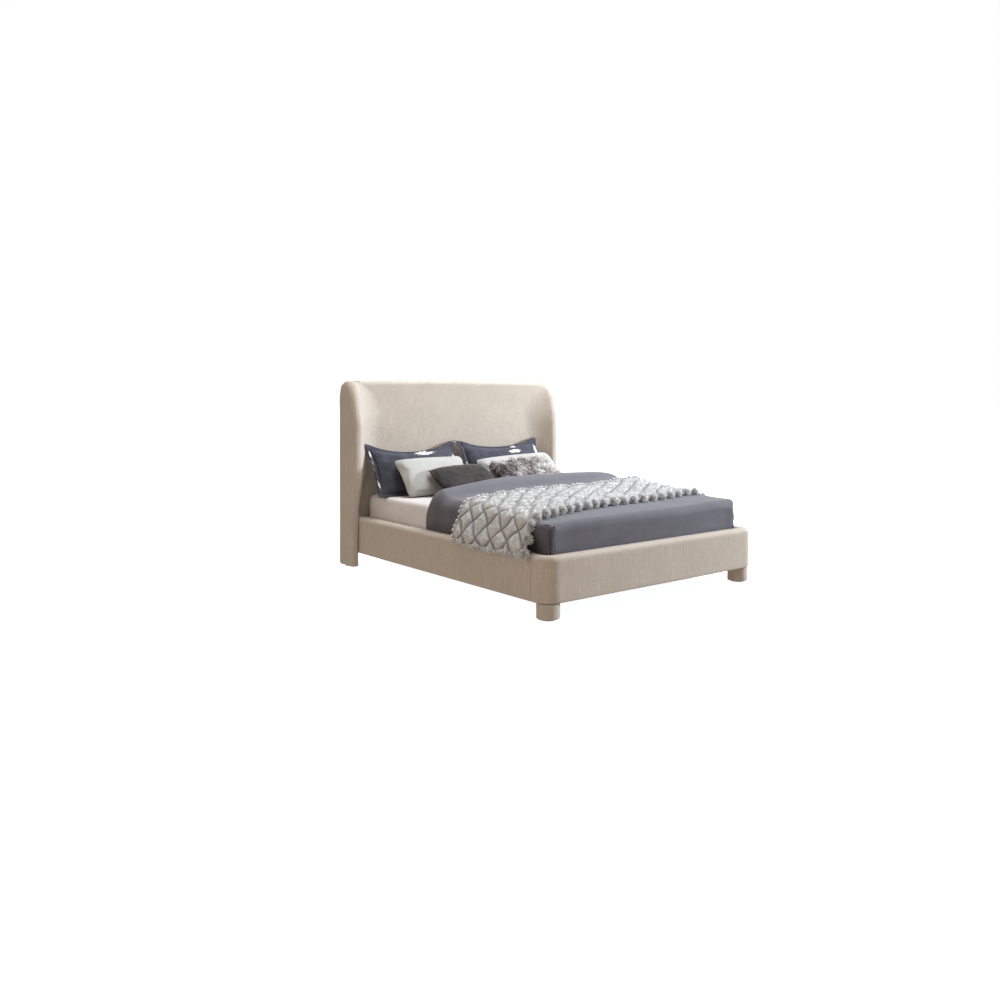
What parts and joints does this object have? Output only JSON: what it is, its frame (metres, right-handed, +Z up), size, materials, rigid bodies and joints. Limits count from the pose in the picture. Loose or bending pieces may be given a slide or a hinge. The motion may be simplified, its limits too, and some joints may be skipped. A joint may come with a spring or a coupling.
{
  "type": "upholstered wing headboard bed",
  "caption": "Queen bed with a tall curved wing headboard, low padded rails, drum feet, slats, mattress and layered bedding, all in separate parts.",
  "frame": {"origin": "on the floor, in the middle of the bed's outline", "axes": "+Z up, +Y towards the headboard, +X to the right as seen from the foot"},
  "size_m": [1.855, 2.24, 1.303],
  "materials": {
    "linen": "matte",
    "backing": "matte",
    "pine": "satin",
    "plywood": "satin",
    "steel": "satin",
    "plastic": "matte",
    "white_cotton": "matte",
    "grey_cotton": "matte",
    "slate_cotton": "matte",
    "cream_cotton": "matte",
    "velvet": "matte",
    "fur": "matte"
  },
  "bodies": {
    "frame": {"headboard_cover": "linen", "headboard_back_panel": "backing", "headboard_face_board": "plywood", "headboard_top_rail": "pine", "headboard_middle_rail": "pine", "headboard_bottom_rail": "pine", "headboard_post_left": "pine", "headboard_post_right": "pine", "wing_frame_left": "plywood", "wing_frame_right": "plywood", "headboard_glide_left": "plastic", "headboard_glide_right": "plastic", "side_rail_cover_left": "linen", "side_rail_cover_right": "linen", "side_rail_board_left": "pine", "side_rail_board_right": "pine", "footboard_cover": "linen", "footboard_board": "pine", "corner_block_left": "pine", "corner_block_right": "pine", "rail_bracket_left": "steel", "rail_bracket_right": "steel", "slat_cleat_left": "pine", "slat_cleat_right": "pine", "foot_left": "linen", "foot_right": "linen", "foot_bolt_left": "steel", "foot_bolt_right": "steel", "foot_plate_left": "steel", "foot_plate_right": "steel", "foot_glide_left": "plastic", "foot_glide_right": "plastic", "centre_beam": "pine", "beam_shoe_foot": "steel", "beam_shoe_head": "steel", "centre_leg_front": "pine", "centre_leg_rear": "pine", "slat_01": "plywood", "slat_02": "plywood", "slat_03": "plywood", "slat_04": "plywood", "slat_05": "plywood", "slat_06": "plywood", "slat_07": "plywood", "slat_08": "plywood", "slat_09": "plywood", "slat_10": "plywood", "slat_11": "plywood"},
    "glide_front": {"centre_glide_front": "plastic"},
    "glide_rear": {"centre_glide_rear": "plastic"},
    "mattress": {"mattress": "white_cotton", "fitted_sheet": "white_cotton", "duvet": "grey_cotton", "fur_throw": "fur"},
    "sham_left": {"sham_left": "slate_cotton"},
    "pillow_left": {"pillow_left": "cream_cotton"},
    "cushion_grey": {"cushion_grey": "velvet"},
    "sham_right": {"sham_right": "slate_cotton"},
    "pillow_right": {"pillow_right": "cream_cotton"},
    "cushion_fur": {"cushion_fur": "fur"}
  },
  "joints": [
    {"name": "glide_front_screw", "type": "slide", "parent": "frame", "child": "glide_front", "axis": [0, 0, 1], "range_m": [0, 0.01]},
    {"name": "glide_rear_screw", "type": "slide", "parent": "frame", "child": "glide_rear", "axis": [0, 0, 1], "range_m": [0, 0.01]},
    {"name": "mattress_lift", "type": "slide", "parent": "frame", "child": "mattress", "axis": [0, 0, 1], "range_m": [0, 0.24]},
    {"name": "sham_left_lift", "type": "slide", "parent": "mattress", "child": "sham_left", "axis": [0, 0, 1], "range_m": [0, 0.25]},
    {"name": "pillow_left_lift", "type": "slide", "parent": "sham_left", "child": "pillow_left", "axis": [0, 0, 1], "range_m": [0, 0.2]},
    {"name": "cushion_grey_lift", "type": "slide", "parent": "pillow_left", "child": "cushion_grey", "axis": [0, 0, 1], "range_m": [0, 0.2]},
    {"name": "sham_right_lift", "type": "slide", "parent": "mattress", "child": "sham_right", "axis": [0, 0, 1], "range_m": [0, 0.25]},
    {"name": "pillow_right_lift", "type": "slide", "parent": "sham_right", "child": "pillow_right", "axis": [0, 0, 1], "range_m": [0, 0.2]},
    {"name": "cushion_fur_lift", "type": "slide", "parent": "pillow_right", "child": "cushion_fur", "axis": [0, 0, 1], "range_m": [0, 0.2]}
  ]
}
